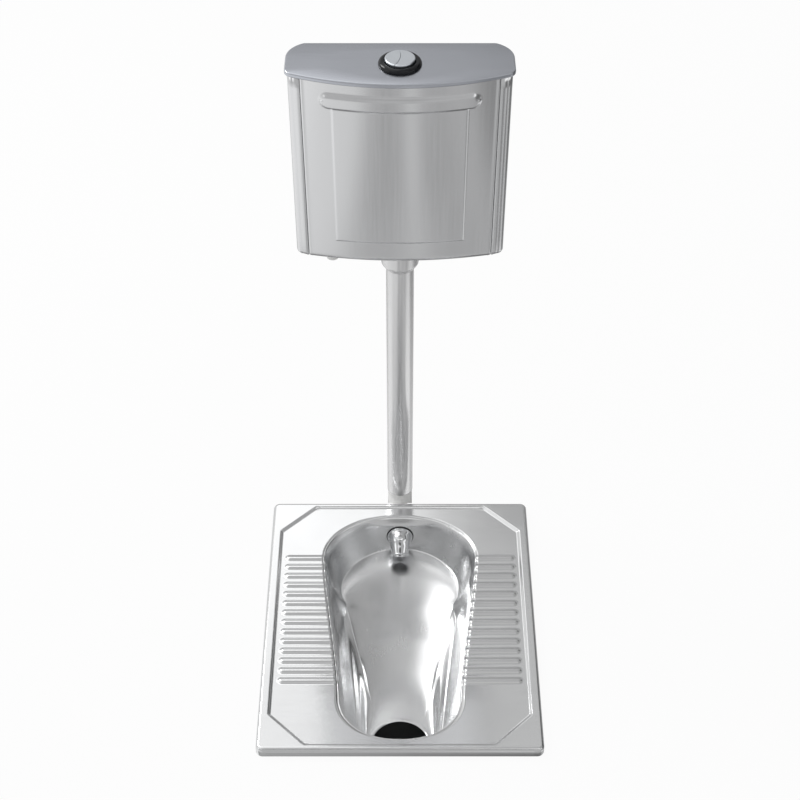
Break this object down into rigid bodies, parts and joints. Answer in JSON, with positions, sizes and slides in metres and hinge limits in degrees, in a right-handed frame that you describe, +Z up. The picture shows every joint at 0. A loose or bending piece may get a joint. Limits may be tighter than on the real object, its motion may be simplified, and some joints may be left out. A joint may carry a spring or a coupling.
{
  "type": "squat toilet",
  "caption": "Pressed stainless squat pan with ribbed foot rests, deep bowl and flush nozzle, a straight flush pipe, and a wall-hung stainless cistern with push buttons.",
  "frame": {"origin": "centre of the pan, on the plane of the folded lip that the pan rests on", "axes": "+Z up, +Y from the pan towards the wall behind the cistern, +X to the right of someone who faces that wall"},
  "size_m": [0.5, 0.712, 1.1995],
  "materials": {
    "pan_steel": "satin stainless steel, pressed, with bright creases",
    "pipe_steel": "bright-drawn stainless steel",
    "cistern_steel": "fine satin stainless steel",
    "lid_steel": "fine satin stainless steel",
    "nozzle_chrome": "polished chrome on brass",
    "button_chrome": "satin chrome plating on plastic",
    "black_plastic": "gloss black",
    "white_plastic": "moulded white",
    "blue_plastic": "moulded blue",
    "green_plastic": "moulded green",
    "black_rubber": "matt black",
    "red_rubber": "matt red silicone",
    "pin_steel": "plain stainless wire"
  },
  "bodies": {
    "installation": {"pan_deck": "pan_steel", "pan_bowl": "pan_steel", "waste_spigot": "pan_steel", "fixing_lugs": "pan_steel", "flush_nozzle": "nozzle_chrome", "nozzle_gasket": "black_rubber", "nozzle_locknut": "white_plastic", "inlet_sleeve": "black_rubber", "flush_bend": "white_plastic", "flush_pipe": "pipe_steel", "coupling_nut": "pipe_steel", "coupling_seal": "black_rubber", "valve_backnut": "white_plastic", "valve_washer": "black_rubber", "valve_base": "white_plastic", "valve_cage": "white_plastic", "lever_pins": "pin_steel", "cistern_front": "cistern_steel", "cistern_side_right": "cistern_steel", "cistern_side_left": "cistern_steel", "cistern_back": "cistern_steel", "cistern_base": "cistern_steel", "hanger_strip": "cistern_steel", "fill_valve_body": "white_plastic", "fill_valve_washer": "black_rubber", "fill_valve_nut": "white_plastic", "arm_pin": "pin_steel"},
    "lid": {"cistern_lid": "lid_steel", "button_housing": "black_plastic", "housing_nut": "black_plastic", "full_button_spring": "pin_steel", "half_button_spring": "pin_steel"},
    "full_press": {"full_button": "button_chrome", "full_push_rod": "white_plastic"},
    "half_press": {"half_button": "button_chrome", "half_push_rod": "white_plastic"},
    "full_rocker": {"full_lever": "blue_plastic"},
    "half_rocker": {"half_lever": "green_plastic"},
    "piston": {"valve_piston": "white_plastic", "seal_ring": "red_rubber", "piston_float": "white_plastic"},
    "collar": {"half_lift_collar": "green_plastic"},
    "float": {"fill_float": "white_plastic", "float_link": "pin_steel"},
    "arm": {"float_arm": "black_plastic"}
  },
  "joints": [
    {"name": "lid_lift", "type": "slide", "parent": "installation", "child": "lid", "axis": [0, 0, 1], "range_m": [0, 0.08]},
    {"name": "full_flush_press", "type": "slide", "parent": "lid", "child": "full_press", "axis": [0, 0, 1], "range_m": [-0.007, 0], "stiffness_N_per_m": 300, "springref_m": 0.005, "deforming": ["full_button_spring"]},
    {"name": "half_flush_press", "type": "slide", "parent": "lid", "child": "half_press", "axis": [0, 0, 1], "range_m": [-0.007, 0], "stiffness_N_per_m": 300, "springref_m": 0.005, "deforming": ["half_button_spring"]},
    {"name": "full_lever_tilt", "type": "hinge", "parent": "installation", "child": "full_rocker", "pos_m": [0.006, 0.326, 0.83], "axis": [0, 1, 0], "range_deg": [0, 33]},
    {"name": "half_lever_tilt", "type": "hinge", "parent": "installation", "child": "half_rocker", "pos_m": [-0.006, 0.362, 0.83], "axis": [0, -1, 0], "range_deg": [0, 33]},
    {"name": "piston_lift", "type": "slide", "parent": "installation", "child": "piston", "axis": [0, 0, 1], "range_m": [0, 0.0087]},
    {"name": "collar_lift", "type": "slide", "parent": "installation", "child": "collar", "axis": [0, 0, 1], "range_m": [0, 0.0087]},
    {"name": "float_rise", "type": "slide", "parent": "installation", "child": "float", "axis": [0, 0, 1], "range_m": [0, 0.018]},
    {"name": "float_arm_tilt", "type": "hinge", "parent": "installation", "child": "arm", "pos_m": [-0.105, 0.348, 0.8882], "axis": [0, -1, 0], "range_deg": [0, 28.96]}
  ],
  "couplings": [
    {"joint": "full_lever_tilt", "follows": "full_flush_press", "rad_per_m": -82.25},
    {"joint": "piston_lift", "follows": "full_flush_press", "ratio": -1.2425},
    {"joint": "half_lever_tilt", "follows": "half_flush_press", "rad_per_m": -82.25},
    {"joint": "collar_lift", "follows": "half_flush_press", "ratio": -1.2425},
    {"joint": "float_arm_tilt", "follows": "float_rise", "rad_per_m": 28.07}
  ]
}
